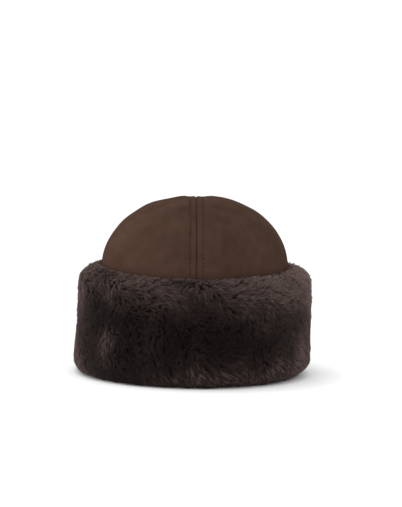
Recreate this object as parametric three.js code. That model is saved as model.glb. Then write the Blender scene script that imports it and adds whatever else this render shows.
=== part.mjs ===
// A shearling hat, resting on its turned-up cuff. The round crown is four panels of hide, suede outside and
// wool inside, and the hide is turned up at the hem into a tall cuff that shows its deep wool pile.
// Millimetres, +Z up. The origin is on the surface that the hat rests on, under its middle. The front seam
// faces -Y. Left and right are the wearer's, so left is +X.
import * as THREE from "three";

// Crown
const crownHalfWidth = 96.5; // outside of the suede, side to side
const crownHalfDepth = 104; // outside of the suede, front to back
const hatHeight = 182.5; // the seams meet at the top, sunk a little below this
const wallHeight = 108.5; // the crown's wall is upright to here, and domes over above
const domeFullness = 0.965; // at 1 the dome is half an ellipsoid, and below it is fuller
const suedeThickness = 1.5;
const insideWoolDepth = 7.2; // the pile inside the crown, pressed as a head presses it
const pieceGap = 0.3; // clearance between pieces that touch

// Cuff, with offsets measured outwards from the crown's suede
const cuffClearance = 0.5; // the turned-up hide stands this far off the suede
const crestOffset = 5.5; // the top of the lip
const crestHeight = 111;
const lipFall = 4; // the pile falls this far from the lip's crest to the crown
const shoulderOffset = 24; // where the lip has rounded over into the outer face
const shoulderHeight = 93.5;
const bellyOffset = 25; // the outer face bows out towards this point
const bellyHeight = 55;
const lowOffset = 26; // the widest place, near the floor
const lowHeight = 14.5;
const restOffset = 11; // the flat underside ends here and the corner rounds up
const footHeight = 8; // pile under the fold, flattened by the hat's weight
const footInnerRise = 4; // the fold's inner corner rounds up from the floor by this much
const frontDip = 4.5; // the lip is this much lower at the front seam than at the sides
const dipFrom = 30; // the dip fades out below this height

// Locks of wool on the cuff and inside the crown: tips stand on the outline, with valleys round them
const lockColumns = 27; // across a quarter of the cuff, a multiple of three so that quarters match
const lockRows = 21; // from the lip to the underside
const lockDepth = 3.6;
const lockLean = 3; // each tip lies this far down the outline from its root
const lockUneven = 1.3; // tips fall short of the outline by up to this much
const lockSway = 0.5; // and lean to either side by up to this share of a column
const insideColumns = 12; // across one quarter inside the crown, again a multiple of three
const insideWallRows = 7;
const insideLockDepth = 3;
const insideUneven = 1.2;

// How a panel's face sinks towards its seams: a rolled cut edge, a pressed allowance and a topstitched line
const seamSections = [
  { fromSeam: 0, sink: 2.0 },
  { fromSeam: 1.5, sink: 1.2 },
  { fromSeam: 6, sink: 1.4 },
  { fromSeam: 10, sink: 0.4 },
  { fromSeam: 15, sink: 0 },
];
const middleColumns = 3; // more columns from the last of those sections to the panel's middle
const domeRows = 9;

// Quarters of the hat: the azimuth where each starts, counterclockwise from +X seen from above
const quarters = [
  { side: "back_left", start: 0 },
  { side: "back_right", start: Math.PI / 2 },
  { side: "front_right", start: Math.PI },
  { side: "front_left", start: 1.5 * Math.PI },
];
const quarterTurn = Math.PI / 2;

const suedeMaterial = new THREE.MeshStandardMaterial({ color: 0x4b382f, roughness: 0.95, metalness: 0 });
const woolMaterial = new THREE.MeshStandardMaterial({ color: 0x32282a, roughness: 0.9, metalness: 0 });

// Height or depth at a place along a table, straight between its rows
function along(table, key, value, at) {
  const next = table.findIndex((row) => row[key] >= at);
  if (next < 0) return table[table.length - 1][value];
  if (next === 0) return table[0][value];
  const [a, b] = [table[next - 1], table[next]];
  return a[value] + ((at - a[key]) / (b[key] - a[key])) * (b[value] - a[value]);
}

// A row is the points of one line across a quarter, with share 0 at its first seam and 1 at its second
function row(shares, pointAt) {
  return { shares, points: shares.map(pointAt) };
}

function evenShares(columns) {
  return Array.from({ length: columns + 1 }, (_, i) => i / columns);
}

// Triangles between two rows that may hold different numbers of points
function stitch(first, second, firstIndex, secondIndex, faces) {
  let [a, b] = [0, 0];
  while (a < first.shares.length - 1 || b < second.shares.length - 1) {
    const nextA = a < first.shares.length - 1 ? first.shares[a + 1] : Infinity;
    const nextB = b < second.shares.length - 1 ? second.shares[b + 1] : Infinity;
    if (nextA <= nextB) {
      faces.push([firstIndex + a, firstIndex + a + 1, secondIndex + b]);
      a += 1;
    } else {
      faces.push([firstIndex + a, secondIndex + b + 1, secondIndex + b]);
      b += 1;
    }
  }
}

// The flat end of a quarter, where it meets its neighbour at a seam
function seamFace(indices, points, azimuth, forward, faces) {
  const radial = new THREE.Vector3(Math.cos(azimuth), Math.sin(azimuth), 0);
  const contour = indices.map((i) => new THREE.Vector2(points[i].dot(radial), points[i].z));
  const sign = Math.sign(THREE.ShapeUtils.area(contour)) * (forward ? 1 : -1);
  for (const [a, b, c] of THREE.ShapeUtils.triangulateShape(contour, [])) {
    const turn = Math.sign(THREE.ShapeUtils.area([contour[a], contour[b], contour[c]]));
    const face = [indices[a], indices[b], indices[c]];
    faces.push(turn === sign ? face : face.reverse());
  }
}

// One closed solid from rows that run round its section, from seam to seam
function solidOfRows(rows, start) {
  const points = [];
  const firstIndices = rows.map((r) => points.push(...r.points) - r.points.length);
  const faces = [];
  rows.forEach((r, j) => {
    const next = (j + 1) % rows.length;
    stitch(r, rows[next], firstIndices[j], firstIndices[next], faces);
  });
  const lastIndices = rows.map((r, j) => firstIndices[j] + r.points.length - 1);
  seamFace(firstIndices, points, start, true, faces);
  seamFace(lastIndices, points, start + quarterTurn, false, faces);

  const geometry = new THREE.BufferGeometry().setFromPoints(points);
  const volume = faces.reduce((sum, [a, b, c]) => {
    return sum + points[a].dot(new THREE.Vector3().crossVectors(points[b], points[c]));
  }, 0);
  geometry.setIndex((volume > 0 ? faces : faces.map((f) => [...f].reverse())).flat());
  geometry.computeVertexNormals();
  return geometry;
}

// A quarter is modelled up to the seam planes, then set out from them by half the gap between pieces
function quarterMesh(name, quarter, rows, material) {
  const mesh = new THREE.Mesh(solidOfRows(rows, quarter.start), material);
  const middle = quarter.start + quarterTurn / 2;
  mesh.name = name + "_" + quarter.side;
  mesh.position.x = (Math.sign(Math.cos(middle)) * pieceGap) / 2;
  mesh.position.y = (Math.sign(Math.sin(middle)) * pieceGap) / 2;
  return mesh;
}

// How far out a place on the dome is, as a share of the wall's radius
function domeReach(tilt) {
  return Math.sin(tilt) ** domeFullness;
}

// A place on a crown face that lies a given depth under the panels' outer face. Tilt is 0 at the top of
// the dome and a quarter turn where the wall starts, drop is how far down the wall the place is, and relief
// sinks it further.
function crownPoint(azimuth, tilt, drop, depth, relief = 0) {
  const [a, b, rise] = [crownHalfWidth, crownHalfDepth, hatHeight - wallHeight].map((size) => size - depth);
  const x = a * domeReach(tilt) * Math.cos(azimuth);
  const y = b * domeReach(tilt) * Math.sin(azimuth);
  const z = rise * Math.cos(tilt) ** domeFullness;
  const outwards = new THREE.Vector3(x / (a * a), y / (b * b), z / (rise * rise)).normalize();
  const sink = along(seamSections, "fromSeam", "sink", Math.min(Math.abs(x), Math.abs(y))) + relief;
  // At a seam the face sinks within the seam's plane, so the two panels still meet there
  if (Math.abs(x) < 1e-6) outwards.x = 0;
  if (Math.abs(y) < 1e-6) outwards.y = 0;
  return new THREE.Vector3(x, y, wallHeight + z - drop).addScaledVector(outwards, -sink);
}

// Shares across a panel, closer together at the seams, for a row whose horizontal radius is given
function panelShares(radius) {
  const columns = seamSections.length - 1 + middleColumns;
  const half = Array.from({ length: columns + 1 }, (_, k) => {
    const even = (0.5 * k) / columns;
    const last = seamSections.length - 1;
    const turnTo = (distance) => Math.asin(Math.min(1, distance / Math.max(radius, 1))) / quarterTurn;
    if (k <= last) return Math.min(even, turnTo(seamSections[k].fromSeam));
    const from = Math.min((0.5 * last) / columns, turnTo(seamSections[last].fromSeam));
    return from + ((0.5 - from) * (k - last)) / (columns - last);
  });
  return [...half, ...half.slice(0, -1).reverse().map((share) => 1 - share)];
}

const hemHeight = footHeight + pieceGap;
const wallDrop = wallHeight - hemHeight;

// Tilt and drop of each row of a crown face, from the top of the dome down to the hem
function crownLines(wallRows) {
  const dome = evenShares(domeRows).map((share) => ({ tilt: share * quarterTurn, drop: 0 }));
  const wall = evenShares(wallRows).map((share) => ({ tilt: quarterTurn, drop: share * wallDrop }));
  return [...dome, ...wall.slice(1)];
}

function smoothFace(start, depth) {
  return crownLines(1).map(({ tilt, drop }) => {
    const shares = tilt === 0 ? [0] : panelShares(crownHalfWidth * domeReach(tilt));
    return row(shares, (share) => crownPoint(start + share * quarterTurn, tilt, drop, depth));
  });
}

function crownPanel(quarter) {
  const outer = smoothFace(quarter.start, 0);
  const inner = smoothFace(quarter.start, suedeThickness);
  return quarterMesh("crown_panel", quarter, [...outer, ...inner.reverse()], suedeMaterial);
}

// Staggered shares, with the half-step places of every second row closed off at the seams
function lockShares(columns, line) {
  if (line % 2 === 0) return evenShares(columns);
  const between = Array.from({ length: columns }, (_, i) => (i + 0.5) / columns);
  return [0, ...between, 1];
}

// Every third place of that grid is a lock's tip, so that each tip has six valley points round it
function isTip(place, line) {
  const column = line % 2 ? place - 1 : place;
  const slanted = column - Math.floor(line / 2) - line;
  return ((slanted % 3) + 3) % 3 === 0;
}

// A repeatable number from 0 to 1 for each lock, so that no two are alike. Locks at a seam are all even.
function lockChance(start, share, line) {
  if (share === 0 || share === 1) return 0;
  return THREE.MathUtils.seededRandom(Math.round(1000 * (start + share + line)));
}

// Inside the crown the pile faces inwards, so a valley lies nearer to the suede than a tip does
function crownWool(quarter) {
  const outer = smoothFace(quarter.start, suedeThickness + pieceGap);
  const depth = suedeThickness + insideWoolDepth;
  const inner = crownLines(insideWallRows).map(({ tilt, drop }, line) => {
    const shares = tilt === 0 ? [0] : lockShares(insideColumns, line);
    return row(shares, (share, place) => {
      const chance = lockChance(quarter.start, share, line);
      const fall = isTip(place, line) ? insideUneven * chance : insideLockDepth;
      return crownPoint(quarter.start + share * quarterTurn, tilt, drop, depth, -fall);
    });
  });
  return quarterMesh("crown_wool", quarter, [...outer, ...inner.reverse()], woolMaterial);
}

// Cuff: a place at an offset outside the crown's suede
function cuffPoint(azimuth, offset, height) {
  const dip = frontDip * Math.max(0, -Math.sin(azimuth)) ** 1.5;
  const fade = THREE.MathUtils.clamp((height - dipFrom) / (shoulderHeight - dipFrom), 0, 1);
  return new THREE.Vector3(
    (crownHalfWidth + offset) * Math.cos(azimuth),
    (crownHalfDepth + offset) * Math.sin(azimuth),
    Math.max(0, height - dip * fade),
  );
}

// The pile's outline from the crown over the lip, down the outer face and round to the flat underside
function pileOutline() {
  const outline = new THREE.Path();
  outline.moveTo(cuffClearance, crestHeight - lipFall);
  outline.quadraticCurveTo(cuffClearance + 1, crestHeight, crestOffset, crestHeight);
  const lip = [shoulderOffset - crestOffset, crestHeight - shoulderHeight];
  outline.absellipse(crestOffset, shoulderHeight, ...lip, Math.PI / 2, 0, true);
  outline.quadraticCurveTo(bellyOffset, bellyHeight, lowOffset, lowHeight);
  outline.absellipse(restOffset, lowHeight, lowOffset - restOffset, lowHeight, 0, -Math.PI / 2, true);
  return outline;
}

function lockRow(outline, start, line) {
  const at = line / lockRows;
  const way = outline.getTangentAt(at);
  const flat = line === 0 || line === lockRows;
  return row(lockShares(lockColumns, line), (share, place) => {
    const tip = isTip(place, line) && !flat;
    const chance = tip ? lockChance(start, share, line) : 0;
    const lean = tip ? (lockLean * (0.5 + chance)) / outline.getLength() : 0;
    const sway = chance ? (lockSway * (2 * chance - 1)) / lockColumns : 0;
    const sink = tip ? lockUneven * chance : flat ? 0 : lockDepth;
    const spot = outline.getPointAt(Math.min(1, at + lean));
    const azimuth = start + (share + sway) * quarterTurn;
    return cuffPoint(azimuth, spot.x + way.y * sink, spot.y - way.x * sink);
  });
}

function cuffPanel(quarter) {
  const outline = pileOutline();
  const pile = Array.from({ length: lockRows + 1 }, (_, line) => lockRow(outline, quarter.start, line));
  // Under the fold the pile carries on inwards, below the hem of the crown and its wool
  const innerOffset = -(suedeThickness + insideWoolDepth);
  const fold = [
    { offset: innerOffset + footInnerRise, height: 0 },
    { offset: innerOffset, height: footInnerRise },
    { offset: innerOffset, height: footHeight },
    { offset: cuffClearance, height: footHeight },
  ];
  const foldColumns = 2 * (seamSections.length - 1 + middleColumns);
  const foldRows = fold.map(({ offset, height }) => {
    return row(evenShares(foldColumns), (s) => cuffPoint(quarter.start + s * quarterTurn, offset, height));
  });
  return quarterMesh("cuff", quarter, [...pile, ...foldRows], woolMaterial);
}

const hat = new THREE.Group();
for (const quarter of quarters) {
  hat.add(crownPanel(quarter), crownWool(quarter), cuffPanel(quarter));
}

export default hat;
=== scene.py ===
# A shearling hat with a napped suede crown and a deep wool cuff. Lengths are metres. The front seam faces
# -Y, +X is the wearer's left, and the hat stands on z = 0.
import math

import bpy
import numpy as np
from mathutils import Matrix, Vector


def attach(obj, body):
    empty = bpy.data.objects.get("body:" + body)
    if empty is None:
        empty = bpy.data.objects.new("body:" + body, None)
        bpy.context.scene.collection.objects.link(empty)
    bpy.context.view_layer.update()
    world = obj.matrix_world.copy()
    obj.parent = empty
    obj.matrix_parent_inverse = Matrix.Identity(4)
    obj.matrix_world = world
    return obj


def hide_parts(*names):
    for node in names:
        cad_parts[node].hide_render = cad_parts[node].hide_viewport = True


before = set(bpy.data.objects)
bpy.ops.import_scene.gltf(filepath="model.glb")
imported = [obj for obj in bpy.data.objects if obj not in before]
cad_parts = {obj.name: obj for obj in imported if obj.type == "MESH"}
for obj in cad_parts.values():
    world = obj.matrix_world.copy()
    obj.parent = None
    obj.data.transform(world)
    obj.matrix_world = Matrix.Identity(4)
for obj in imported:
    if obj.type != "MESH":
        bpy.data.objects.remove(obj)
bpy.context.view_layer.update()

MM = 0.001
TINY = 1e-6  # two places less than this apart are one
QUARTER_TURN = math.pi / 2

# The hat's quarters, each with the azimuth at which it starts
QUARTERS = {
    "back_left": 0.0,
    "back_right": QUARTER_TURN,
    "front_right": 2 * QUARTER_TURN,
    "front_left": 3 * QUARTER_TURN,
}

# Crown, as in the solids
CROWN_HALF_WIDTH = 96.5 * MM
CROWN_HALF_DEPTH = 104 * MM
CROWN_TOP = 182.5 * MM
WALL_TOP = 108.5 * MM
DOME_FULLNESS = 0.965  # below 1 the dome is fuller than half an ellipsoid
HEM = 8.3 * MM
SUEDE = 1.5 * MM
PIECE_GAP = 0.3 * MM
INSIDE_WOOL = 7.2 * MM
TOP_TILT = 0.002  # the panels' points meet this close to the top
DOME_LENGTH = CROWN_HALF_DEPTH * QUARTER_TURN
PANEL_LENGTH = DOME_LENGTH + WALL_TOP - HEM
DOME_SHARE = DOME_LENGTH / PANEL_LENGTH

# The top of the crown sags to the wearer's left, though its seams stay straight
CROWN_SAG = 1.6 * MM
SAG_FROM = 40 * MM  # in full this far from the front seam

# Seams of the crown, outwards on each side: half a crease, a roll, a sunk line of topstitches and a soft puff
CREASE_DEPTH = 1.35 * MM
CREASE_WIDTH = 0.65 * MM
CREASE_FADE = (30 * MM, 140 * MM)  # it gets shallower between these lengths up the seam from the wall
TOP_CREASE = 0.7  # and keeps this share of its depth
ROLL = 0.35 * MM
ROLL_AT = 2.8 * MM
ROLL_WIDTH = 1.5 * MM
ALLOWANCE_SINK = 0.55 * MM
ALLOWANCE_EDGE = (6.8 * MM, 11.56 * MM)  # the strip over the seam allowance rises again between these
STITCH_LINE = 6.5 * MM
STITCH_SINK = 0.35 * MM
STITCH_PULL = 0.6  # along the line that sink comes and goes by this share
STITCH_GROOVE = 0.8 * MM
STITCH_PITCH = 4.0 * MM
STITCH_LENGTH = 2.0 * MM
THREAD_RADIUS = 0.5 * MM
THREAD_BOW = 1.3 * THREAD_RADIUS  # a stitch's ends lie this much deeper than its middle
THREAD_RISE = 0.3 * THREAD_RADIUS  # and its middle runs this far over the suede
STITCHED_FROM = 0.095  # the tilt at which they start: there the lines of neighbouring seams meet
STITCHED_TO = 3 * MM  # above the hem
PUFF = 1.1 * MM
PUFF_AT = 18 * MM
PUFF_WIDTH = 8 * MM

# Cuff: (offset outwards from the crown's suede, height) of the points on its outline
LIP_FOOT = (0.5 * MM, 107 * MM)
LIP_TURN = (1.5 * MM, 111 * MM)
CREST = (5.5 * MM, 111 * MM)
SHOULDER = (24 * MM, 93.5 * MM)
BELLY = (24.2 * MM, 55 * MM)
LOW = (26 * MM, 14.5 * MM)
REST_OFFSET = 11 * MM  # from here inwards it rests on the floor
FOLD_OFFSET = -8.7 * MM  # inside the hem, where it turns up
FOOT_RISE = 4 * MM  # the radius of that turn
FOOT_HEIGHT = 8 * MM  # where it ends
FLOOR_CLEARANCE = 0.15 * MM

# The cuff's upper edge dips at the front, and its face with it down to a height
FRONT_DIP = 4.5 * MM
DIP_FROM = 30 * MM
DIP_NARROWNESS = 1.5  # above 1 the dip keeps to the front

# Low down, the pile is pressed in a little on the wearer's left and spreads on the right. Each of the two
# fades out between two heights
TUCK = 5 * MM
TUCK_FADE = (0, 18 * MM)
BULGE = 1.1 * MM
BULGE_FADE = (8 * MM, 40 * MM)

# The cuff's outer face leans to the wearer's left by this share of its height above a level
CUFF_LEAN = 0.02
CUFF_LEVEL = 60 * MM


class Waves:
    """Smooth seeded noise of unit spread: a sum of plane waves, so it runs on unbroken across every seam."""

    def __init__(self, seed, wavelength, count=28):
        rng = np.random.default_rng(seed)
        ways = rng.normal(size=(count, 3))
        ways /= np.linalg.norm(ways, axis=1, keepdims=True)
        self.ways = ways * (2 * math.pi / wavelength) * rng.uniform(0.6, 1.5, (count, 1))
        self.phases = rng.uniform(0, 2 * math.pi, count)
        self.scale = math.sqrt(2 / count)

    def __call__(self, points):
        return self.scale * np.cos(points @ self.ways.T + self.phases).sum(axis=-1)


def quarter_rng(quarter, seed):
    """A random generator of a quarter's own."""
    return np.random.default_rng(seed + list(QUARTERS).index(quarter))


def uneven(rng, count, spread):
    """Factors about 1 that differ by a spread."""
    return np.exp(rng.normal(size=count) * spread)


def even_spread(count, rng):
    """Places in the unit square, spread evenly but in no rows."""
    plastic_number = 1.32471795724
    steps = np.arange(count)[:, None] * np.array([1 / plastic_number, 1 / plastic_number**2])
    return (rng.uniform(size=2) + steps) % 1.0


def smooth(low, high, value):
    """0 below low, 1 above high, with an eased rise between them."""
    t = np.clip((value - low) / (high - low), 0, 1)
    return t * t * (3 - 2 * t)


def bell(value, middle, width):
    """1 at the middle, falling to 0 on both sides."""
    return np.exp(-(((value - middle) / width) ** 2))


def unit(vectors):
    return vectors / np.linalg.norm(vectors, axis=-1, keepdims=True)


# Meshes from arrays


def mesh_piece(name, vertices, faces, material, attributes=None):
    """A smooth mesh from a vertex array and a list of index arrays, each of triangles or of quads."""
    mesh = bpy.data.meshes.new(name)
    sizes = np.concatenate([np.full(len(f), f.shape[1]) for f in faces])
    loops = np.concatenate([f.ravel() for f in faces])
    starts = np.concatenate([[0], np.cumsum(sizes)[:-1]])
    mesh.vertices.add(len(vertices))
    mesh.vertices.foreach_set("co", vertices.astype(np.float32).ravel())
    mesh.loops.add(len(loops))
    mesh.loops.foreach_set("vertex_index", loops.astype(np.int32))
    mesh.polygons.add(len(sizes))
    mesh.polygons.foreach_set("loop_start", starts.astype(np.int32))
    mesh.polygons.foreach_set("use_smooth", np.ones(len(sizes), dtype=bool))
    mesh.update(calc_edges=True)
    for key, values in (attributes or {}).items():
        mesh.attributes.new(key, "FLOAT", "POINT").data.foreach_set("value", values.astype(np.float32))
    mesh.materials.append(material)
    piece = bpy.data.objects.new(name, mesh)
    bpy.context.collection.objects.link(piece)
    return piece


def shell(outside, inside):
    """Vertices and quads of a closed shell between two faces that are point grids of one size."""
    rows, columns = outside.shape[:2]
    ids = np.arange(rows * columns).reshape(rows, columns)

    def strip(a, b):
        return np.stack([a[:-1], a[1:], b[1:], b[:-1]], axis=-1).reshape(-1, 4)

    inner = ids + rows * columns
    faces = [strip(ids[r], ids[r + 1]) for r in range(rows - 1)]
    faces += [strip(inner[r + 1], inner[r]) for r in range(rows - 1)]
    faces += [strip(inner[0], ids[0]), strip(ids[-1], inner[-1])]
    faces += [strip(ids[:, 0], inner[:, 0]), strip(inner[:, -1], ids[:, -1])]
    vertices = np.concatenate([outside.reshape(-1, 3), inside.reshape(-1, 3)])
    quads = np.concatenate(faces)
    a, b, c, d = (vertices[quads[:, k]] for k in range(4))
    volume = np.einsum("ij,ij->i", a, np.cross(b, c) + np.cross(c, d)).sum()
    return vertices, quads if volume > 0 else quads[:, ::-1]


# The crown's form

# Soft waves in the suede, each with its height
crown_softness = [(Waves(11, 90 * MM), 0.7 * MM), (Waves(12, 34 * MM), 0.22 * MM)]
SOFT_FROM = 20 * MM  # in full this far from a seam


def seam_sink(from_seam, along_seam):
    """How far the suede lies under its panel's face, at a distance from the seam and a place along it."""
    crease = CREASE_DEPTH * bell(from_seam, 0, CREASE_WIDTH)
    crease *= 1 - (1 - TOP_CREASE) * smooth(*CREASE_FADE, along_seam)
    allowance = ALLOWANCE_SINK * (1 - smooth(*ALLOWANCE_EDGE, from_seam))
    pulled = 1 - STITCH_PULL * (1 - np.cos(2 * math.pi * along_seam / STITCH_PITCH)) / 2
    groove = STITCH_SINK * pulled * bell(from_seam, STITCH_LINE, STITCH_GROOVE)
    roll = ROLL * bell(from_seam, ROLL_AT, ROLL_WIDTH)
    puff = PUFF * bell(from_seam, PUFF_AT, PUFF_WIDTH)
    return crease + allowance + groove - roll - puff


def crown_points(azimuth, tilt, drop, depth):
    """Places a depth under the suede's face. Tilt is 0 at the top and a quarter turn down to the wall."""
    face_sizes = np.array([CROWN_HALF_WIDTH, CROWN_HALF_DEPTH, CROWN_TOP - WALL_TOP])
    sizes = face_sizes - np.asarray(depth)[..., None]
    ball = np.stack([np.sin(tilt) * np.cos(azimuth), np.sin(tilt) * np.sin(azimuth), np.cos(tilt)], axis=-1)
    fuller = np.stack([np.sin(tilt), np.sin(tilt), np.cos(tilt)], axis=-1) ** (DOME_FULLNESS - 1)
    points = ball * fuller * sizes
    out = unit(ball / sizes)
    from_seam = np.minimum(abs(points[..., 0]), abs(points[..., 1]))
    along_seam = CROWN_HALF_DEPTH * (QUARTER_TURN - tilt) - drop
    points[..., 2] += WALL_TOP - drop
    sink = seam_sink(from_seam, along_seam)
    for waves, amount in crown_softness:
        sink += amount * smooth(0, SOFT_FROM, from_seam) * waves(points)
    points -= out * sink[..., None]
    loose = smooth(WALL_TOP, CROWN_TOP, points[..., 2]) * smooth(0, SAG_FROM, abs(points[..., 0]))
    points[..., 0] += CROWN_SAG * loose
    return points


def crown_tilt(down):
    """The tilt of places a share of the way from a panel's top to its hem."""
    return TOP_TILT + (QUARTER_TURN - TOP_TILT) * np.clip(down / DOME_SHARE, 0, 1)


def crown_place(start):
    """place(around, down, depth) for a quarter: shares across it and from the top to the hem, and a depth."""

    def place(around, down, depth):
        drop = (WALL_TOP - HEM) * np.clip((down - DOME_SHARE) / (1 - DOME_SHARE), 0, 1)
        return crown_points(start + around * QUARTER_TURN, crown_tilt(down), drop, depth)

    return place


# A panel's columns stand close together where the seam's profile turns: their distances from the seam
SEAM_COLUMNS = MM * np.concatenate(
    [np.arange(0, 1.5, 0.35), np.arange(2, 5, 1.2), np.arange(5, 8, 0.4), np.arange(8.5, 20, 2)]
)
MIDDLE_COLUMNS = 14  # from the last of those to the panel's middle


def panel_shares(radius):
    """Shares across a panel at which its columns stand, where the crown has the given radius."""
    even = np.linspace(0, 0.5, len(SEAM_COLUMNS) + MIDDLE_COLUMNS)
    turns = np.arcsin(np.minimum(1, SEAM_COLUMNS / radius)) / QUARTER_TURN
    close = np.minimum(turns, even[: len(SEAM_COLUMNS)])
    half = np.concatenate([close, np.linspace(close[-1], 0.5, MIDDLE_COLUMNS + 1)[1:]])
    return np.concatenate([half, 1 - half[-2::-1]])


def crown_grid(start, rows, depth):
    """A face of a crown panel as a grid of points."""
    down = np.linspace(0, 1, rows)
    radii = np.maximum(CROWN_HALF_WIDTH * np.sin(crown_tilt(down)) ** DOME_FULLNESS, 1 * MM)
    around = np.stack([panel_shares(radius) for radius in radii])
    return crown_place(start)(around, np.broadcast_to(down[:, None], around.shape), depth)


# Suede

# The nap's shade, halfway between dark and light, and how much it differs in patches
NAP = 0.5
nap_patches = [(Waves(31, 48 * MM), 0.06), (Waves(32, 15 * MM), 0.05)]

# Places on the crown painted darker or lighter: painted shade on the wearer's left, as of a shallow dent,
# painted light on the wearer's right, and a darker patch over the front seam near the top. Each has a centre,
# a size and an added shade
PAINTED_SUEDE_SPOTS = [
    ((62 * MM, -47 * MM, 157 * MM), 14 * MM, -0.18),
    ((80 * MM, -38 * MM, 139 * MM), 20 * MM, -0.26),
    ((-82 * MM, -42 * MM, 136 * MM), 26 * MM, 0.20),
    ((0, -58 * MM, 168 * MM), 34 * MM, -0.16),
]
FOOT_PAINTED_LIGHT = 0.26  # painted light: the suede is lighter by this much beside the cuff, against the shade that the cuff casts there
FOOT_PAINTED_LIGHT_HEIGHT = 18 * MM  # and no more this far above it


def suede_panel(quarter, material):
    """A quarter of the crown's suede."""
    start = QUARTERS[quarter]
    rows = 100
    vertices, quads = shell(crown_grid(start, rows, 0.0), crown_grid(start, rows, SUEDE))
    nap_and_painted_light = NAP + sum(amount * waves(vertices) for waves, amount in nap_patches)
    # Painted shade and painted light in spots
    for centre, size, amount in PAINTED_SUEDE_SPOTS:
        nap_and_painted_light += amount * bell(np.linalg.norm(vertices - centre, axis=1), 0, size)
    # Painted light beside the cuff, lightening the suede where the cuff shades it
    nap_and_painted_light += FOOT_PAINTED_LIGHT * (1 - smooth(CREST[1], CREST[1] + FOOT_PAINTED_LIGHT_HEIGHT, vertices[:, 2]))
    piece = mesh_piece("suede_" + quarter, vertices, [quads], material, {"nap_and_painted_light": nap_and_painted_light})
    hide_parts("crown_panel_" + quarter)
    return piece


def stitch_mesh(centre, along, out):
    """One bowed topstitch: a thread whose ends dip into the suede."""
    rings, sides = 5, 6
    across = np.cross(along, out)
    t = np.linspace(-1, 1, rings)[:, None]
    spine = centre + along * t * STITCH_LENGTH / 2 - out * t**2 * THREAD_BOW
    angles = np.arange(sides) * 2 * math.pi / sides
    ring = np.cos(angles)[:, None] * across + np.sin(angles)[:, None] * out
    vertices = (spine[:, None] + ring[None] * THREAD_RADIUS).reshape(-1, 3)
    k = np.arange(sides)
    wrap = (k + 1) % sides
    near = np.arange(rings - 1)[:, None] * sides
    far = near + sides
    cap = np.arange(1, sides - 1)
    faces = [
        np.stack([near + k, near + wrap, far + wrap], axis=-1).reshape(-1, 3),
        np.stack([near + k, far + wrap, far + k], axis=-1).reshape(-1, 3),
        np.stack([0 * cap, cap + 1, cap], axis=-1),
        np.stack([0 * cap, cap, cap + 1], axis=-1) + far[-1],
    ]
    return vertices, np.concatenate(faces)


def thread_path(seam, side):
    """The path of a line of topstitches beside a seam, on the suede and 1 mm under it."""
    tilt = np.linspace(STITCHED_FROM, QUARTER_TURN, 400)
    drop = np.linspace(0, WALL_TOP - HEM - STITCHED_TO, 200)[1:]
    tilts = np.concatenate([tilt, np.full(len(drop), QUARTER_TURN)])
    drops = np.concatenate([np.zeros(len(tilt)), drop])
    seam_in_front_or_back = abs(math.sin(seam)) > 0.5
    half_across = CROWN_HALF_WIDTH if seam_in_front_or_back else CROWN_HALF_DEPTH
    turn = side * np.arcsin(STITCH_LINE / (half_across * np.sin(tilts) ** DOME_FULLNESS))
    return [crown_points(seam + turn, tilts, drops, depth) for depth in (0.0, 1 * MM)]


def stitches(seam, side):
    """The middle, the way along and the way out of each topstitch on one side of a seam."""
    line, under = thread_path(seam, side)
    walked = np.concatenate([[0], np.cumsum(np.linalg.norm(np.diff(line, axis=0), axis=1))])
    for place in np.arange(STITCH_PITCH / 2, walked[-1] - STITCH_PITCH / 2, STITCH_PITCH):
        here = np.array([np.interp(place, walked, line[:, k]) for k in range(3)])
        below = np.array([np.interp(place, walked, under[:, k]) for k in range(3)])
        ahead = np.array([np.interp(place + 1 * MM, walked, line[:, k]) for k in range(3)])
        along = unit(ahead - here)
        out = unit(np.cross(np.cross(along, unit(here - below)), along))
        yield here + out * THREAD_RISE, along, out


def topstitches(material):
    """Both lines of thread beside each of the crown's four seams."""
    vertices, faces, total = [], [], 0
    for seam in QUARTERS.values():
        for middle, along, out in (*stitches(seam, -1), *stitches(seam, 1)):
            points, triangles = stitch_mesh(middle, along, out)
            vertices.append(points)
            faces.append(triangles + total)
            total += len(points)
    piece = mesh_piece("topstitches", np.concatenate(vertices), [np.concatenate(faces)], material)
    return piece


# The cuff's form


def arc_points(centre, sizes, start, end, count):
    angle = np.linspace(start, end, count)
    return np.stack([centre[0] + sizes[0] * np.cos(angle), centre[1] + sizes[1] * np.sin(angle)], axis=-1)


def bend_points(a, b, c, count):
    t = np.linspace(0, 1, count)[:, None]
    return (1 - t) ** 2 * np.array(a) + 2 * t * (1 - t) * np.array(b) + t**2 * np.array(c)


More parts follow.
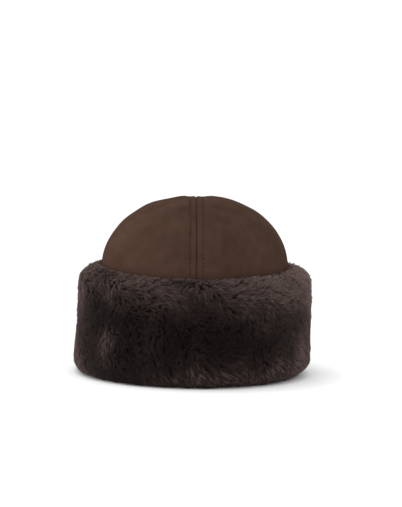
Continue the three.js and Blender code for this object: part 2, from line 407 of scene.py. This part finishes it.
class Section:
    """The pile's outline: from the crown over the lip, down the face, along the floor and up to the fold."""

    def __init__(self):
        fine = 60
        crest_size = (SHOULDER[0] - CREST[0], CREST[1] - SHOULDER[1])
        low_size = (LOW[0] - REST_OFFSET, LOW[1])
        foot_middle = (FOLD_OFFSET + FOOT_RISE, FOOT_RISE)
        parts = [
            bend_points(LIP_FOOT, LIP_TURN, CREST, fine),
            arc_points((CREST[0], SHOULDER[1]), crest_size, QUARTER_TURN, 0, fine),
            bend_points(SHOULDER, BELLY, LOW, fine),
            arc_points((REST_OFFSET, LOW[1]), low_size, 0, -QUARTER_TURN, fine),
            arc_points(foot_middle, (FOOT_RISE, FOOT_RISE), -QUARTER_TURN, -2 * QUARTER_TURN, fine),
            np.array([[FOLD_OFFSET, FOOT_HEIGHT]]),
        ]
        path = np.concatenate(parts)
        steps = np.linalg.norm(np.diff(path, axis=0), axis=1)
        self.path = path[np.concatenate([[True], steps > TINY])]
        walked = np.concatenate([[0], np.cumsum(np.linalg.norm(np.diff(self.path, axis=0), axis=1))])
        self.length = walked[-1]
        self.walked = walked / self.length
        way = np.gradient(self.path, self.walked, axis=0)
        self.out = unit(np.stack([-way[:, 1], way[:, 0]], axis=-1))
        on_floor = (self.path[:, 1] < TINY) & (self.path[:, 0] < REST_OFFSET + TINY)
        self.rest = self.walked[on_floor][0]

    def at(self, down, depth):
        """(offset, height) of places a share down the outline and a depth under it."""
        down = np.clip(down, 0, 1)
        columns = (*self.path.T, *self.out.T)
        offset, height, out_offset, out_height = (np.interp(down, self.walked, column) for column in columns)
        return offset - out_offset * depth, height - out_height * depth


section = Section()

# Along the cuff's face
CUFF_QUARTER_WIDTH = (CROWN_HALF_WIDTH + CROWN_HALF_DEPTH + 2 * SHOULDER[0]) / 2 * QUARTER_TURN


def on_side(side, azimuth, narrowness=1):
    """1 at the wearer's left for side 1, or at the right for side -1, and 0 at the front and back."""
    return np.clip(side * np.cos(azimuth), 0, 1) ** narrowness


def cuff_points(azimuth, offset, height):
    """Places on the cuff, given by their azimuth, offset from the crown's suede and height."""
    in_front = np.maximum(0, -np.sin(azimuth)) ** DIP_NARROWNESS
    dip = FRONT_DIP * in_front * np.clip((height - DIP_FROM) / (SHOULDER[1] - DIP_FROM), 0, 1)
    tuck = TUCK * on_side(1, azimuth) * (1 - smooth(*TUCK_FADE, height))
    tuck -= BULGE * on_side(-1, azimuth) * (1 - smooth(*BULGE_FADE, height))
    lean = CUFF_LEAN * (height - CUFF_LEVEL) * np.clip(offset / CREST[0], 0, 1)
    offset = offset - tuck * np.clip(offset / REST_OFFSET, 0, 1)
    x = (CROWN_HALF_WIDTH + offset) * np.cos(azimuth) + lean
    y = (CROWN_HALF_DEPTH + offset) * np.sin(azimuth)
    return np.stack([x, y, np.maximum(FLOOR_CLEARANCE, height - dip)], axis=-1)


def cuff_place(start):
    """place(around, down, depth) for a quarter: shares across it and down the outline, and a depth."""

    def place(around, down, depth):
        return cuff_points(start + around * QUARTER_TURN, *section.at(down, depth))

    return place


# Wool

clump_height = Waves(21, 22 * MM)
broad_swirls = Waves(22, 60 * MM)
fine_swirls = Waves(23, 20 * MM)
broad_patches = Waves(24, 40 * MM)
fine_patches = Waves(25, 9 * MM)
tone_border = Waves(26, 55 * MM)

ALONG = np.array([0, 0.5, 0.5, 0.5, 1])  # a wisp's points, coloured from 0 like a root to 1 like a tip
BEND_AT = 0.35  # the share of a wisp's length at which it bends and is thickest
WISP_ROUNDNESS = 1.2  # how much each wisp's own roundness shades it, against 1 for the pile's surface
# The core is painted dark, as shade deep in the pile
CORE_TONE = 0.15
TONE_RANGE = (0.02, 1)  # the darkest and the lightest

# The cuff's wool grows in bundles of wisps, and the bundles gather into locks. The numbers are for a quarter
CUFF_BUNDLES = 5300
BUNDLE_WISPS = 5
BUNDLE_SPREAD = 0.9 * MM
TIP_SPREAD = 0.45  # the tips of a bundle spread this share as far as its roots
CUFF_LOCKS = 900
LOCK_WIDTH = 4 * MM
LOCK_PULL = 0.25  # a bundle's tip is drawn this share of the way to the middle of its lock
LOCK_SINK = 0.6 * MM  # and lies this much deeper at a lock width from there
FACE_SHARE = 0.89  # this share of the bundles stands on the lip and face, and the rest on the pressed ring
LIP_END = (0.05, 0.13)  # the lip ends between these shares of the outline

# How far the wool strays from its lie, in swirls, by lock and by bundle, and how much more on the lip
BROAD_STRAY = 0.5
FINE_STRAY = 0.35
LOCK_STRAY = 0.4
BUNDLE_STRAY = 0.4
LIP_STRAY = 0.8
LEFT_CALM = 0.6  # on the wearer's left it strays less by this share
LIP_UPRIGHT = 0.45  # on the lip it leans less by this share

# How far tips stand proud of the outline and how unevenly, and how much more on the lip
PROUD = 0.2 * MM
LIP_PROUD = 1 * MM
CLUMPS = 0.5 * MM
RAGGED = 0.3 * MM
LIP_RAGGED = 0.6 * MM
TIP_DEPTHS = (-2.5 * MM, 4 * MM)  # the least and the greatest

# Between which shares across a quarter and down the outline roots and tips may lie
ROOT_REACH = ([0, 0.004], [1, 0.996])
TIP_REACH = ([-0.03, 0], [1.03, 1])

CUFF_CORE_DEPTH = 5 * MM
CUFF_CORE_LUMPS = 0.9 * MM
CUFF_CORE_FLATTENING = 0.65  # where the pile is pressed, the core lies less deep by this share
CUFF_CORE_EASE = (0.04, 0.01)  # from this share of the outline before the pressed ring to that within it
CUFF_CORE_TOP = 0.02  # within these shares of the outline's ends the core closes against it
CUFF_CORE_FOOT = 0.008
CUFF_ROOT_DEPTH = 8 * MM
CUFF_BEND = 0.25  # a wisp's bend lies this share of the way down from its tip's depth to its root's
CUFF_WISP_RADIUS = 0.46 * MM
PRESSED_TIP_DEPTH = 0.2 * MM
PRESSED_ROOT_DEPTH = 3.5 * MM
PRESSED_WISP_RADIUS = 0.75 * MM

# Wool inside the crown: short single wisps, fewer of them towards the top, where a quarter narrows
CROWN_WISPS = 3200
CROWN_LOCKS = 420
CROWN_CROWDING = 0.72  # below 1, so that more stand low down
CROWN_ROOTS = (0.03, 0.995)  # between these shares of a panel's length
CROWN_TIP_REACH = ([-0.02, 0.01], [1.02, 1])
CROWN_NARROWEST = 0.08  # nearer the top than this share of the dome a quarter counts as no narrower
CROWN_LOCK_PULL = 0.5
CROWN_LOCK_SINK = 1.2 * MM
CROWN_LOCK_REACH = 1.5  # lock widths from a lock's middle beyond which its wisps sink no deeper
CROWN_BROAD_STRAY = 1.2
CROWN_WISP_STRAY = 0.4
CROWN_WISP_LEAN = 6 * MM
CROWN_WISP_RADIUS = 1.5 * MM
CROWN_BEND = 0.3
CROWN_ROOT_DEPTH = SUEDE + PIECE_GAP + 1 * MM
CROWN_CORE_DEPTH = SUEDE + PIECE_GAP + 3.5 * MM
CROWN_CORE_LUMPS = 0.6 * MM
CROWN_TONE = 0.5
CROWN_PATCHES = 0.1
CROWN_MOTTLE = 0.08

# How the cuff's pile lies at each height: its turn from straight down towards the wearer's left, how much
# that turn strays, how far the tips lie from their roots, how light the wool is, where painted shade darkens
# the middle band and painted light lightens the bands above and below it, and how much that differs by
# bundle. Heights and leans are in millimetres
CUFF_LIE = np.array(
    [
        # height, turn, straying, lean, tone with painted light and shade, mottle
        (0, 0.80, 0.35, 8, 0.36, 0.50),
        (10, 0.85, 0.30, 11, 0.48, 0.50),
        (20, 0.85, 0.35, 11, 0.44, 0.48),
        (30, 0.60, 0.80, 8, 0.21, 0.30),
        (45, 0.20, 1.20, 6, 0.07, 0.18),
        (66, 0.30, 1.20, 6, 0.09, 0.18),
        (76, 0.80, 0.80, 8, 0.27, 0.18),
        (86, 1.10, 0.65, 9, 0.47, 0.18),
        (100, 1.20, 0.65, 9, 0.61, 0.18),
        (111, 1.20, 0.80, 7, 0.73, 0.18),
    ]
)
LIE_HEIGHTS, TURN, STRAYING, LEAN, TONE_WITH_PAINTED_BANDS, MOTTLE = CUFF_LIE.T

# Spots on the cuff: azimuth in degrees, then height, width and tallness in millimetres
TUFT = (222, 46, 11, 15)
TUFT_TONE = 0.75
TUFT_HANG = 0.8  # here the wool's turn is less by this share
LEVEL = (312, 86, 62, 26)
LEVEL_TURN = 0.40  # and here its turn is more by this much

# Lighter and darker spots, each with the tone that it adds: partly the wool's own uneven colour and partly
# painted light and shade, such as darker wool low at the front where it meets the floor and lighter wool on
# the lip
TONE_SPOTS = [
    (*TUFT, TUFT_TONE),
    (208, 55, 17, 60, -0.12),
    (214, 82, 22, 18, -0.52),
    (205, 94, 14, 15, -0.12),
    (241, 92, 11, 12, 0.10),
    (199, 70, 8, 12, 0.18),
    (224, 110, 14, 8, 0.34),
    (231, 14, 23, 14, -0.43),
    (220, 6, 24, 10, -0.42),
    (240, 31, 28, 9, -0.12),
    (249, 55, 16, 17, 0.15),
    (258, 92, 14, 9, 0.12),
    (245, 107, 42, 8, 0.20),
    (268, 92, 16, 13, -0.17),
    (270, 40, 4, 22, 0.14),
    (268, 23, 13, 12, 0.20),
    (288, 79, 20, 15, 0.22),
    (305, 64, 17, 12, 0.30),
    (307, 97, 40, 15, 0.38),
    (316, 106, 14, 8, 0.26),
    (297, 109, 14, 6, 0.20),
    (287, 24, 8, 9, -0.12),
    (308, 17, 18, 12, 0.12),
    (329, 12, 14, 10, 0.15),
    (318, 72, 13, 15, 0.28),
    (333, 33, 15, 22, 0.52),
]

# Painted light added to the tone at the wearer's left and right, lightening the pile's sides as side light
# would, and how narrow those sides are
LEFT_PAINTED_LIGHT = 0.60
LEFT_NARROWNESS = 6
RIGHT_PAINTED_LIGHT = 0.50
RIGHT_NARROWNESS = 14
BORDER_SHIFT = 5 * MM  # the borders between light and dark wander up and down by this much
BROAD_PATCHES = 0.10  # and the tone differs by these shares in patches
FINE_PATCHES = 0.12
LEAST_TONE = 0.05
LEAST_PRESSED_TONE = 0.25  # on the pressed ring


def lie_at(height, column):
    """A column of the cuff's lie at any heights."""
    return np.interp(height, LIE_HEIGHTS * MM, column)


def spot_share(spot, azimuth, height):
    """How far places belong to a soft-edged spot, from 1 at its middle to 0."""
    degrees, middle, width, tallness = spot
    away = np.remainder(azimuth - math.radians(degrees) + math.pi, 2 * math.pi) - math.pi
    across = away * (CROWN_HALF_WIDTH + BELLY[0])
    return bell(across, 0, width * MM) * bell(height, middle * MM, tallness * MM)


def nearest(places, centres):
    """For each place, the index of its nearest centre and the distance to it."""
    index = np.empty(len(places), dtype=int)
    batches = max(1, len(places) // 1500)
    for part in np.array_split(np.arange(len(places)), batches):
        gaps = ((places[part, None] - centres[None]) ** 2).sum(axis=-1)
        index[part] = gaps.argmin(axis=1)
    return index, np.linalg.norm(places - centres[index], axis=1)


def spindles(root, bend, tip, out, radius, spin):
    """Closed wisps, thickest at a bend and pointed at both ends: five points and six triangles each.

    Their normals lean towards the way out of the pile, which shades the pile as one soft surface.
    """
    way = tip - root
    side = unit(np.cross(way, out))
    up = unit(np.cross(side, way))
    points, normals = [root], [out]
    for k in range(3):
        angle = spin + k * 2 * math.pi / 3
        ring = np.cos(angle)[:, None] * side + np.sin(angle)[:, None] * up
        points.append(bend + ring * radius[:, None])
        normals.append(unit(ring * WISP_ROUNDNESS + out))
    points.append(tip)
    normals.append(out)
    pattern = [(0, 1, 2), (0, 2, 3), (0, 3, 1), (2, 1, 4), (3, 2, 4), (1, 3, 4)]
    triangles = (np.array(pattern)[None] + 5 * np.arange(len(root))[:, None, None]).reshape(-1, 3)
    return np.stack(points, axis=1).reshape(-1, 3), np.stack(normals, axis=1).reshape(-1, 3), triangles


def wisps_at(place, spots, depths, out_depths, radius, rng):
    """Wisps in a quarter, given by the spots and depths of their roots, bends and tips.

    The way out of the pile leads from the first of the out depths to the second.
    """
    root, bend, tip = (place(*spot.T, depth) for spot, depth in zip(spots, depths))
    inner, outer = (place(*spots[0].T, depth) for depth in out_depths)
    return spindles(root, bend, tip, unit(outer - inner), radius, rng.uniform(0, 2 * math.pi, len(root)))


def wool_piece(name, core, wisps, tone, material):
    """A core and its wisps as one mesh that carries each point's tone and its place along its wisp."""
    core_points, core_faces = core
    points, normals, faces = wisps
    attributes = {
        "tone": np.concatenate([np.full(len(core_points), CORE_TONE), np.repeat(tone, len(ALONG))]),
        "along": np.concatenate([np.zeros(len(core_points)), np.tile(ALONG, len(tone))]),
    }
    vertices = np.concatenate([core_points, points])
    vertices[:, 2] = np.maximum(vertices[:, 2], 0)
    piece = mesh_piece(name, vertices, [core_faces, faces + len(core_points)], material, attributes)
    own = np.empty(len(vertices) * 3, dtype=np.float32)
    piece.data.vertices.foreach_get("normal", own)
    own = own.reshape(-1, 3)
    own[len(core_points):] = normals
    piece.data.normals_split_custom_set_from_vertices(own)
    return piece


def cuff_bundles(start, size, rng):
    """The bundles of a quarter of the cuff: the spots of roots and tips, the tips' depths, and tones."""
    roots = even_spread(CUFF_BUNDLES, rng)
    roots[:, 1] = np.interp(roots[:, 1], [0, FACE_SHARE, 1], [0, section.rest, 1])
    centres = even_spread(CUFF_LOCKS, rng)
    lock, lock_gap = nearest(roots * size, centres * size)
    surface = cuff_place(start)(*roots.T, 0.0)
    height = surface[:, 2]
    azimuth = start + roots[:, 0] * QUARTER_TURN
    on_lip = 1 - smooth(*LIP_END, roots[:, 1])
    on_left = on_side(1, azimuth, LEFT_NARROWNESS)

    stray = BROAD_STRAY * broad_swirls(surface) + FINE_STRAY * fine_swirls(surface)
    stray += (rng.normal(size=CUFF_LOCKS) * LOCK_STRAY)[lock]
    stray += rng.normal(size=CUFF_BUNDLES) * (BUNDLE_STRAY + LIP_STRAY * on_lip)
    stray *= 1 - LEFT_CALM * on_left
    turn = lie_at(height, TURN) + lie_at(height, STRAYING) * stray
    turn += LEVEL_TURN * spot_share(LEVEL, azimuth, height)
    turn *= 1 - TUFT_HANG * spot_share(TUFT, azimuth, height)
    lean = lie_at(height, LEAN * MM) * uneven(rng, CUFF_LOCKS, spread=0.15)[lock] * (1 - LIP_UPRIGHT * on_lip)
    heading = np.stack([np.sin(turn), np.cos(turn)], axis=-1) / size
    tips = roots + (centres[lock] - roots) * LOCK_PULL + heading * lean[:, None]

    depth = LOCK_SINK * (lock_gap / LOCK_WIDTH) ** 2 - PROUD - LIP_PROUD * on_lip
    depth += CLUMPS * clump_height(surface)
    depth += rng.normal(size=CUFF_BUNDLES) * (RAGGED + LIP_RAGGED * on_lip)

    # The tone by height paints shade on the middle band and light on the bands above and below it
    tone = lie_at(height + BORDER_SHIFT * tone_border(surface), TONE_WITH_PAINTED_BANDS)
    tone *= 1 + BROAD_PATCHES * broad_patches(surface) + FINE_PATCHES * fine_patches(surface)
    # Painted light on the wearer's left and right sides
    tone += LEFT_PAINTED_LIGHT * on_left + RIGHT_PAINTED_LIGHT * on_side(-1, azimuth, RIGHT_NARROWNESS)
    # Spots: partly the wool's own uneven colour, partly painted light and shade
    for *spot, added in TONE_SPOTS:
        tone += added * spot_share(spot, azimuth, height)
    tone = np.maximum(tone, np.where(roots[:, 1] < section.rest, LEAST_TONE, LEAST_PRESSED_TONE))
    tone *= uneven(rng, CUFF_LOCKS, spread=0.05)[lock]
    tone *= uneven(rng, CUFF_BUNDLES, spread=lie_at(height, MOTTLE))
    return roots, tips, depth, tone


def cuff_wisps(start, rng):
    """The wisps of a quarter of the cuff, and their tones. A bundle's wisps draw together at their tips."""
    size = np.array([CUFF_QUARTER_WIDTH, section.length])
    bundle = np.repeat(np.arange(CUFF_BUNDLES), BUNDLE_WISPS)
    count = len(bundle)
    bundle_root, bundle_tip, bundle_depth, bundle_tone = (of[bundle] for of in cuff_bundles(start, size, rng))
    apart = rng.normal(size=(count, 2)) * BUNDLE_SPREAD / size
    roots = np.clip(bundle_root + apart, *ROOT_REACH)
    reach = uneven(rng, count, spread=0.2)[:, None]
    tips = roots + (bundle_tip + TIP_SPREAD * apart - roots) * reach
    bends = roots + (tips - roots) * BEND_AT
    tips = np.clip(tips, *TIP_REACH)

    pressed = roots[:, 1] > section.rest
    tip_depth = np.clip(bundle_depth + rng.normal(size=count) * RAGGED, *TIP_DEPTHS)
    tip_depth = np.where(pressed, PRESSED_TIP_DEPTH, tip_depth)
    root_depth = np.where(pressed, PRESSED_ROOT_DEPTH, CUFF_ROOT_DEPTH)
    bend_depth = tip_depth + (root_depth - tip_depth) * CUFF_BEND
    radius = np.where(pressed, PRESSED_WISP_RADIUS, CUFF_WISP_RADIUS) * uneven(rng, count, spread=0.25)
    spots, depths = (roots, bends, tips), (root_depth, bend_depth, tip_depth)
    wisps = wisps_at(cuff_place(start), spots, depths, (1 * MM, 0.0), radius, rng)
    return wisps, np.clip(bundle_tone * uneven(rng, count, spread=0.08), *TONE_RANGE)


def cuff_core(start):
    """The closed lumpy body under a quarter's wisps, from the outline's top edge to the fold."""
    rows, columns = 45, 50
    down, around = np.meshgrid(np.linspace(0, 1, rows), np.linspace(0, 1, columns), indexing="ij")
    place = cuff_place(start)
    edge = smooth(0, CUFF_CORE_TOP, down) * smooth(0, CUFF_CORE_FOOT, 1 - down)
    flattens = (section.rest - CUFF_CORE_EASE[0], section.rest + CUFF_CORE_EASE[1])
    share = 1 - CUFF_CORE_FLATTENING * smooth(*flattens, down)
    lumps = CUFF_CORE_LUMPS * clump_height(place(around, down, 0.0))
    outside = place(around, down, edge * share * (CUFF_CORE_DEPTH + lumps))
    corner = section.walked[section.path[:, 0] > LIP_FOOT[0]][-1]
    offset = np.interp(down, [0, corner, 1], [LIP_FOOT[0], LIP_FOOT[0], FOLD_OFFSET])
    height = np.interp(down, [0, corner, 1], [LIP_FOOT[1] - 1 * MM, FOOT_HEIGHT, FOOT_HEIGHT + 0.1 * MM])
    inside = cuff_points(start + around * QUARTER_TURN, offset, height)
    return shell(outside, inside)


def cuff_wool(quarter, material):
    """A quarter of the cuff: a core with wisps of wool."""
    start = QUARTERS[quarter]
    wisps, tone = cuff_wisps(start, quarter_rng(quarter, seed=100))
    piece = wool_piece("cuff_wool_" + quarter, cuff_core(start), wisps, tone, material)
    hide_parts("cuff_" + quarter)
    return piece


def inside_wool(quarter, material):
    """A quarter of the wool inside the crown, which faces inwards: a core with short wisps."""
    start = QUARTERS[quarter]
    rng = quarter_rng(quarter, seed=200)
    place = crown_place(start)
    face = SUEDE + INSIDE_WOOL
    size = np.array([DOME_LENGTH, PANEL_LENGTH])
    roots = even_spread(CROWN_WISPS, rng)
    roots[:, 1] = np.interp(roots[:, 1] ** CROWN_CROWDING, [0, 1], CROWN_ROOTS)
    centres = even_spread(CROWN_LOCKS, rng)
    centres[:, 1] = centres[:, 1] ** CROWN_CROWDING
    lock, lock_gap = nearest(roots * size, centres * size)
    surface = place(*roots.T, face)
    turn = CROWN_BROAD_STRAY * broad_swirls(surface) + CROWN_WISP_STRAY * rng.normal(size=CROWN_WISPS)
    lean = CROWN_WISP_LEAN * uneven(rng, CROWN_WISPS, spread=0.2)
    narrow = np.sin(np.clip(roots[:, 1] / DOME_SHARE, CROWN_NARROWEST, 1) * QUARTER_TURN)
    heading = np.stack([np.sin(turn) / narrow, np.cos(turn)], axis=-1) / size
    tips = roots + (centres[lock] - roots) * CROWN_LOCK_PULL + heading * lean[:, None]
    tips = np.clip(tips, *CROWN_TIP_REACH)
    bends = roots + (tips - roots) * BEND_AT

    tip_depth = face - CROWN_LOCK_SINK * np.clip(lock_gap / LOCK_WIDTH, 0, CROWN_LOCK_REACH) ** 2
    root_depth = np.full(CROWN_WISPS, CROWN_ROOT_DEPTH)
    bend_depth = tip_depth + (root_depth - tip_depth) * CROWN_BEND
    radius = CROWN_WISP_RADIUS * uneven(rng, CROWN_WISPS, spread=0.15)
    spots, depths = (roots, bends, tips), (root_depth, bend_depth, tip_depth)
    wisps = wisps_at(place, spots, depths, (face - 1 * MM, face), radius, rng)
    tone = CROWN_TONE + CROWN_PATCHES * broad_patches(surface) + CROWN_MOTTLE * rng.normal(size=CROWN_WISPS)

    rows = 30
    lumps = CROWN_CORE_LUMPS * np.clip(clump_height(crown_grid(start, rows, face)), -2, 2)
    against_suede = crown_grid(start, rows, SUEDE + PIECE_GAP)
    core = shell(against_suede, crown_grid(start, rows, CROWN_CORE_DEPTH + lumps))
    piece = wool_piece("inside_wool_" + quarter, core, wisps, np.clip(tone, *TONE_RANGE), material)
    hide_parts("crown_wool_" + quarter)
    return piece


# Materials


class NodeMaterial:
    """A material made of nodes, with a short way to add each kind. Patterns lie in the piece's space."""

    def __init__(self, name):
        self.material = bpy.data.materials.new(name)
        self.material.use_nodes = True
        self.nodes = self.material.node_tree.nodes
        self.nodes.clear()
        self.place = self.nodes.new("ShaderNodeTexCoord").outputs["Object"]

    def link(self, value, socket):
        self.material.node_tree.links.new(value, socket)

    def attribute(self, name):
        node = self.nodes.new("ShaderNodeAttribute")
        node.attribute_name = name
        return node.outputs["Fac"]

    def noise(self, size, detail=3.0, rough=0.55):
        """Noise whose features measure about the given size."""
        node = self.nodes.new("ShaderNodeTexNoise")
        node.inputs["Scale"].default_value = 1 / size
        node.inputs["Detail"].default_value = detail
        node.inputs["Roughness"].default_value = rough
        self.link(self.place, node.inputs["Vector"])
        return node.outputs["Fac"]

    def combine(self, operation, first, second):
        """Two values combined; each is a socket or a number."""
        node = self.nodes.new("ShaderNodeMath")
        node.operation = operation
        for socket, value in zip(node.inputs, (first, second)):
            if isinstance(value, (int, float)):
                socket.default_value = value
            else:
                self.link(value, socket)
        return node.outputs[0]

    def ramp(self, value, stops):
        node = self.nodes.new("ShaderNodeValToRGB")
        elements = node.color_ramp.elements
        while len(elements) < len(stops):
            elements.new(0.5)
        for element, (position, colour) in zip(elements, stops):
            element.position = position
            element.color = (*colour, 1)
        self.link(value, node.inputs["Fac"])
        return node.outputs["Color"]

    def bump(self, height, distance, strength):
        node = self.nodes.new("ShaderNodeBump")
        node.inputs["Distance"].default_value = distance
        node.inputs["Strength"].default_value = strength
        self.link(height, node.inputs["Height"])
        return node.outputs["Normal"]

    def finish(self, colour, bump, roughness, specular, sheen=0.0, sheen_tint=(1, 1, 1)):
        shader = self.nodes.new("ShaderNodeBsdfPrincipled")
        output = self.nodes.new("ShaderNodeOutputMaterial")
        self.link(colour, shader.inputs["Base Color"])
        self.link(bump, shader.inputs["Normal"])
        shader.inputs["Roughness"].default_value = roughness
        shader.inputs["Specular IOR Level"].default_value = specular
        shader.inputs["Sheen Weight"].default_value = sheen
        shader.inputs["Sheen Roughness"].default_value = 0.5
        shader.inputs["Sheen Tint"].default_value = (*sheen_tint, 1)
        self.link(shader.outputs["BSDF"], output.inputs["Surface"])
        return self.material


def suede_material():
    """Brown suede: cloudy patches where the nap lies one way or the other, over a fine grain, with painted
    light and shade in spots and painted light beside the cuff.
    """
    suede = NodeMaterial("suede")
    brushed = suede.noise(2.2 * MM, detail=4, rough=0.7)
    # The nap attribute carries the nap's patches together with painted light and shade
    patches = suede.combine("MULTIPLY", suede.attribute("nap_and_painted_light"), 0.6)
    shade = suede.combine("ADD", patches, suede.combine("MULTIPLY", brushed, 0.4))
    dark, middle, light = (0.036, 0.0205, 0.0140), (0.0525, 0.0288, 0.0200), (0.070, 0.0385, 0.0275)
    colour = suede.ramp(shade, [(0.26, dark), (0.50, middle), (0.74, light)])
    grain = suede.noise(0.5 * MM, detail=2)
    bump = suede.bump(suede.combine("ADD", brushed, grain), distance=0.25 * MM, strength=0.5)
    return suede.finish(colour, bump, roughness=1.0, specular=0.01, sheen=0.02, sheen_tint=(0.6, 0.45, 0.36))


def thread_material():
    """Dark brown thread with a fine twist; its dark colour paints the shade of the stitch holes."""
    thread = NodeMaterial("thread")
    twist = thread.noise(0.4 * MM)
    # Darker than the suede: painted shade of the stitch holes
    colour = thread.ramp(twist, [(0.3, (0.023, 0.0108, 0.0076)), (0.7, (0.044, 0.0225, 0.0156))])
    bump = thread.bump(twist, distance=0.1 * MM, strength=0.4)
    return thread.finish(colour, bump, roughness=0.9, specular=0.02)


def wool_material():
    """Dark brown wool, darkest at the roots, where the darkness is painted shade deep in the pile, and
    lightest at the tips of the lighter tufts. Its tone also brings the cuff's painted light and shade.
    """
    wool = NodeMaterial("wool")
    root_light = 0.2  # the share of a wisp's tone that its root has; the darker roots are painted shade deep in the pile
    grown = wool.combine("POWER", wool.attribute("along"), 1.5)
    grown = wool.combine("ADD", wool.combine("MULTIPLY", grown, 1 - root_light), root_light)
    fleck = wool.noise(0.8 * MM, detail=2)
    light = wool.combine("MULTIPLY", wool.attribute("tone"), grown)
    light = wool.combine("MULTIPLY", light, wool.combine("ADD", fleck, 0.5))
    root, middle, tip = (0.0062, 0.0050, 0.0047), (0.030, 0.0205, 0.0186), (0.145, 0.099, 0.091)
    colour = wool.ramp(light, [(0.0, root), (0.35, middle), (1.0, tip)])
    bump = wool.bump(fleck, distance=0.2 * MM, strength=0.3)
    return wool.finish(colour, bump, roughness=0.8, specular=0.02, sheen=0.24, sheen_tint=(0.64, 0.49, 0.45))


def floor_material():
    """A pale, faintly clouded floor."""
    floor = NodeMaterial("pale_floor")
    cloud = floor.noise(0.4)
    colour = floor.ramp(cloud, [(0.3, (0.93, 0.93, 0.93)), (0.7, (0.96, 0.96, 0.96))])
    bump = floor.bump(cloud, distance=0.01 * MM, strength=0.1)
    return floor.finish(colour, bump, roughness=0.9, specular=0.2)


# Studio

HAT_MIDDLE = Vector((0, 0, 0.090))
CAMERA_DISTANCE = 2.5
CAMERA_ELEVATION = math.radians(6.05)
CAMERA_TURN = math.radians(-0.9)  # the camera stands a little to the wearer's right
CAMERA_ROLL = math.radians(1.0)
CAMERA_LENS = 171.5  # millimetres, on a 36 mm sensor along the picture's long side
AIM_RIGHT = 6.1 * MM
AIM_UP = 33.1 * MM
FLOOR_REACH = 12


def add_camera():
    """The camera aims right of and above the hat, which so stands left of and below the picture's middle."""
    data = bpy.data.cameras.new("camera")
    data.sensor_width = 36
    data.lens = CAMERA_LENS
    data.clip_start = 0.1
    data.clip_end = 20
    camera = bpy.data.objects.new("camera", data)
    bpy.context.collection.objects.link(camera)
    level = math.cos(CAMERA_ELEVATION)
    back = Vector((math.sin(CAMERA_TURN) * level, -math.cos(CAMERA_TURN) * level, math.sin(CAMERA_ELEVATION)))
    right = Vector((0, 0, 1)).cross(back).normalized()
    up = back.cross(right)
    place = HAT_MIDDLE + back * CAMERA_DISTANCE
    aim = HAT_MIDDLE + right * AIM_RIGHT + up * AIM_UP
    looking = (aim - place).to_track_quat("-Z", "Y").to_matrix().to_4x4()
    camera.matrix_world = Matrix.Translation(place) @ looking @ Matrix.Rotation(CAMERA_ROLL, 4, "Z")
    bpy.context.scene.camera = camera


def area_light(name, place, size, power):
    """A soft box that faces the hat."""
    data = bpy.data.lights.new(name, "AREA")
    data.shape = "SQUARE"
    data.size = size
    data.energy = power
    light = bpy.data.objects.new(name, data)
    light.location = place
    light.rotation_euler = (HAT_MIDDLE - Vector(place)).to_track_quat("-Z", "Y").to_euler()
    bpy.context.collection.objects.link(light)


def add_studio():
    """Even soft light from all round, two soft boxes and a plain floor."""
    world = bpy.data.worlds.new("studio")
    world.use_nodes = True
    background = world.node_tree.nodes["Background"]
    background.inputs["Color"].default_value = (1, 1, 1, 1)
    background.inputs["Strength"].default_value = 1.1
    bpy.context.scene.world = world
    bpy.context.scene.view_settings.view_transform = "Standard"
    area_light("top_box", (-0.2, 0.1, 1.5), size=1.2, power=8)
    area_light("left_box", (-1.5, 0.2, 0.6), size=1.0, power=6)
    mesh = bpy.data.meshes.new("floor")
    corners = [(x * FLOOR_REACH, y * FLOOR_REACH, 0) for x, y in ((-1, -1), (1, -1), (1, 1), (-1, 1))]
    mesh.from_pydata(corners, [], [(0, 1, 2, 3)])
    mesh.materials.append(floor_material())
    floor = bpy.data.objects.new("floor", mesh)
    bpy.context.collection.objects.link(floor)


add_camera()
add_studio()
suede = suede_material()
wool = wool_material()
made = [topstitches(thread_material())]
for quarter in QUARTERS:
    made += [suede_panel(quarter, suede), inside_wool(quarter, wool), cuff_wool(quarter, wool)]
for piece in made:
    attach(piece, "root")
